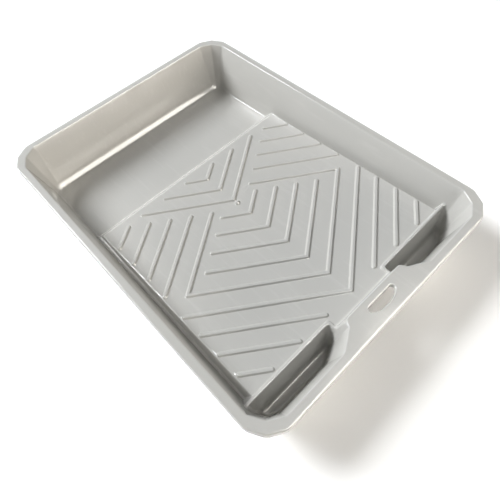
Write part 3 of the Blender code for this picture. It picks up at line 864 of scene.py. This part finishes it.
def surfaces(points):
    """Heights and normals of the top and of the underside at the plan's points."""
    x, y = points[:, 0], points[:, 1]
    top = heights(x, y)
    top_normal = slopes(x, y, top, 0.0)
    step = 1e-5
    rise_x = (relief(x + step, y) - relief(np.abs(x - step), y)) / (2 * step)
    rise_y = (relief(x, y + step) - relief(x, y - step)) / (2 * step)
    lean_x = -top_normal[:, 0] / top_normal[:, 2] + rise_x
    lean_y = -top_normal[:, 1] / top_normal[:, 2] + rise_y
    bumped = np.stack([-lean_x, -lean_y, np.ones(len(x))], axis=1)
    bumped /= np.linalg.norm(bumped, axis=1)[:, None]
    raised = relief(x, y)
    bumpy = (raised > 0) | (np.abs(rise_x) + np.abs(rise_y) > 0)
    top_normal = np.where(bumpy[:, None], bumped, top_normal)
    under = heights(x, y, WALL)
    under_normal = slopes(x, y, under, WALL)
    top_normal[x == 0.0, 0] = 0.0
    under_normal[x == 0.0, 0] = 0.0
    return top + raised, top_normal, under, -under_normal


def whole_plan(points, corners, names):
    """Mirror the half plan; returns points, triangles and full section names."""
    mirror = np.arange(len(points))
    off_axis = np.flatnonzero(points[:, 0] > 0)
    mirror[off_axis] = len(points) + np.arange(len(off_axis))
    everything = np.vstack([points, points[off_axis] * (-1.0, 1.0)])
    source = np.concatenate([np.arange(len(points)), off_axis])
    sides = []
    for side, word in ((1, "right"), (-1, "left")):
        for name in names:
            if name == "rim_side":
                sides.append("rim_" + word)
            else:
                sides.append(name if name in MIDDLE_SECTIONS else name + "_" + word)
    triangles = np.vstack([corners, mirror[corners][:, ::-1]])
    return everything, source, triangles, np.array(sides)


def shell(name, points, top, under, triangles):
    """Closed shell over a set of plan triangles, with the surface's own normals."""
    used, local = np.unique(triangles, return_inverse=True)
    local = local.reshape(triangles.shape)
    count = len(used)
    places = np.vstack([np.column_stack([points[used], top[0][used]]),
                        np.column_stack([points[used], under[0][used]])])
    starts, ends = local.ravel(), np.roll(local, -1, axis=1).ravel()
    rim = ~np.isin(starts * count + ends, ends * count + starts)
    a, b = starts[rim], ends[rim]
    sides = np.column_stack([a, a + count, b + count, b])
    way = points[used][b] - points[used][a]
    outward = np.column_stack([way[:, 1], -way[:, 0], np.zeros(len(way))])
    outward /= np.linalg.norm(outward, axis=1)[:, None]
    below = local[:, ::-1]
    faces = local.tolist() + (below + count).tolist() + sides.tolist()
    normals = np.vstack([top[1][used][local.ravel()], under[1][used][below.ravel()],
                         np.repeat(outward, 4, axis=0)])
    mesh = bpy.data.meshes.new(name)
    mesh.from_pydata(places.tolist(), [], faces)
    mesh.polygons.foreach_set("use_smooth", [True] * len(mesh.polygons))
    mesh.normals_split_custom_set(normals.tolist())
    mesh.update()
    obj = bpy.data.objects.new(name, mesh)
    bpy.context.scene.collection.objects.link(obj)
    return obj


def build_shells(material):
    points, corners = half_plan()
    top_z, top_n, under_z, under_n = surfaces(points)
    middle = points[corners].mean(axis=1)
    names = section_names(middle[:, 0], middle[:, 1])
    plan, source, triangles, sections = whole_plan(points, corners, names)
    flip_x = np.where(np.arange(len(plan)) < len(points), 1.0, -1.0)[:, None]
    turn = np.hstack([flip_x, np.ones((len(plan), 2))])
    top = top_z[source], top_n[source] * turn
    under = under_z[source], under_n[source] * turn
    for section in sorted(set(sections)):
        piece = shell("moulded_" + section, plan, top, under, triangles[sections == section])
        piece.data.materials.append(material)
        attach(piece, "root")
        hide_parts(section)


# ---- materials --------------------------------------------------------------------------
PALE_PLASTIC = (0.480, 0.472, 0.448)
DARK_PLASTIC = (0.445, 0.438, 0.415)
SCUFFED_PLASTIC = (0.60, 0.595, 0.575)
ROUGHNESS = (0.13, 0.21)
SCUFFED_ROUGHNESS = 0.42
SCUFF_STRENGTH = 0.18
FLOOR_GREY = 0.94


def grey(value):
    return (value,) * 3


def tray_plastic():
    """Glossy moulded plastic: faint colour drift, uneven gloss, fine ripple, faint scuffs."""
    material = bpy.data.materials.new("tray_plastic")
    material.use_nodes = True
    tree = material.node_tree
    shader = tree.nodes["Principled BSDF"]
    shader.inputs["IOR"].default_value = 1.5
    place = tree.nodes.new("ShaderNodeTexCoord")

    def noise(scale, detail, stretch=(1.0, 1.0, 1.0)):
        mapping = tree.nodes.new("ShaderNodeMapping")
        mapping.inputs["Scale"].default_value = stretch
        tree.links.new(place.outputs["Object"], mapping.inputs["Vector"])
        node = tree.nodes.new("ShaderNodeTexNoise")
        node.inputs["Scale"].default_value = scale
        node.inputs["Detail"].default_value = detail
        tree.links.new(mapping.outputs["Vector"], node.inputs["Vector"])
        return node.outputs["Fac"]

    def ramp(source, *stops):
        node = tree.nodes.new("ShaderNodeValToRGB")
        for element, (position, colour) in zip(node.color_ramp.elements, stops):
            element.position = position
            element.color = (*colour, 1.0)
        tree.links.new(source, node.inputs["Fac"])
        return node.outputs["Color"]

    def mix(factor, base, over):
        node = tree.nodes.new("ShaderNodeMixRGB")
        node.inputs["Color2"].default_value = (*over, 1.0)
        tree.links.new(factor, node.inputs["Fac"])
        tree.links.new(base, node.inputs["Color1"])
        return node.outputs["Color"]

    drift = noise(scale=9.0, detail=3.0, stretch=(1.0, 0.45, 1.0))
    streaks = noise(scale=260.0, detail=4.0, stretch=(1.0, 0.07, 0.5))
    patches = noise(scale=38.0, detail=6.0)
    ripple = noise(scale=160.0, detail=2.0)
    colour = ramp(drift, (0.30, DARK_PLASTIC), (0.70, PALE_PLASTIC))
    scuffs = ramp(streaks, (0.56, grey(0.0)), (0.74, grey(SCUFF_STRENGTH)))
    rough = ramp(patches, (0.35, grey(ROUGHNESS[0])), (0.75, grey(ROUGHNESS[1])))
    tree.links.new(mix(scuffs, colour, SCUFFED_PLASTIC), shader.inputs["Base Color"])
    tree.links.new(mix(scuffs, rough, grey(SCUFFED_ROUGHNESS)), shader.inputs["Roughness"])
    bump = tree.nodes.new("ShaderNodeBump")
    bump.inputs["Strength"].default_value = 0.10
    bump.inputs["Distance"].default_value = 0.0004
    tree.links.new(ripple, bump.inputs["Height"])
    tree.links.new(bump.outputs["Normal"], shader.inputs["Normal"])
    return material


def floor_material():
    material = bpy.data.materials.new("studio_floor")
    material.use_nodes = True
    shader = material.node_tree.nodes["Principled BSDF"]
    shader.inputs["Base Color"].default_value = (*grey(FLOOR_GREY), 1.0)
    shader.inputs["Roughness"].default_value = 0.7
    return material


# ---- stage, light and camera ------------------------------------------------------------
HORIZON_COLOUR = (0.80, 0.82, 0.84, 1.0)
OVERHEAD_COLOUR = (0.13, 0.135, 0.14, 1.0)
CAMERA_LENS = 28.78                      # millimetres, on a sensor 36 wide
CAMERA_PLACE = (-0.14874, -0.20968, RIM_TOP + 0.29412)
CAMERA_TURN = (30.497, 3.578, -43.638)   # degrees about X, Y and Z


def make_floor():
    size = 6.0
    mesh = bpy.data.meshes.new("studio_floor")
    mesh.from_pydata([(-size, -size, GROUND), (size, -size, GROUND),
                      (size, size, GROUND), (-size, size, GROUND)], [], [(0, 1, 2, 3)])
    floor = bpy.data.objects.new("studio_floor", mesh)
    bpy.context.scene.collection.objects.link(floor)
    mesh.materials.append(floor_material())


def area_light(name, place, target, size, power, colour):
    """Rectangular light at a place, turned to a target."""
    data = bpy.data.lights.new(name, "AREA")
    data.shape = "RECTANGLE"
    data.size, data.size_y = size
    data.energy = power
    data.color = colour
    light = bpy.data.objects.new(name, data)
    light.location = place
    way = Vector(target) - Vector(place)
    light.rotation_euler = way.to_track_quat("-Z", "Y").to_euler()
    bpy.context.scene.collection.objects.link(light)
    return light


def make_world():
    """Studio room: pale round the horizon and dim overhead."""
    world = bpy.data.worlds.new("studio")
    world.use_nodes = True
    tree = world.node_tree
    place = tree.nodes.new("ShaderNodeTexCoord")
    split = tree.nodes.new("ShaderNodeSeparateXYZ")
    ramp = tree.nodes.new("ShaderNodeValToRGB")
    tree.links.new(place.outputs["Generated"], split.inputs["Vector"])
    tree.links.new(split.outputs["Z"], ramp.inputs["Fac"])
    tree.links.new(ramp.outputs["Color"], tree.nodes["Background"].inputs["Color"])
    horizon, overhead = ramp.color_ramp.elements
    horizon.position, horizon.color = 0.02, HORIZON_COLOUR
    overhead.position, overhead.color = 0.45, OVERHEAD_COLOUR
    tree.nodes["Background"].inputs["Strength"].default_value = 1.0
    bpy.context.scene.world = world


def make_lights():
    """Key from behind, low fill that isn't mirrored, and a strip that is only mirrored."""
    make_world()
    area_light("key", place=(-1.0, 2.0, 2.05), target=(0.0, 0.0, 0.0), size=(1.2, 1.2),
               power=138.0, colour=(0.96, 0.98, 1.0))
    front = area_light("front", place=(0.35, -1.50, 0.29), target=(0.0, 0.1, 0.03),
                       size=(0.9, 0.35), power=20.0, colour=(1.0, 0.92, 0.82))
    front.visible_glossy = False
    strip = area_light("strip", place=(0.40, -0.88, 1.12), target=(0.0, 0.17, 0.0),
                       size=(1.3, 1.7), power=120.0, colour=(1.0, 0.97, 0.90))
    strip.visible_diffuse = False


def make_camera():
    data = bpy.data.cameras.new("camera")
    data.lens = CAMERA_LENS
    data.sensor_width = 36.0
    camera = bpy.data.objects.new("camera", data)
    camera.location = CAMERA_PLACE
    camera.rotation_euler = Euler([math.radians(angle) for angle in CAMERA_TURN], "XYZ")
    bpy.context.scene.collection.objects.link(camera)
    bpy.context.scene.camera = camera


build_shells(tray_plastic())
make_floor()
make_lights()
make_camera()
bpy.context.scene.view_settings.view_transform = "Standard"
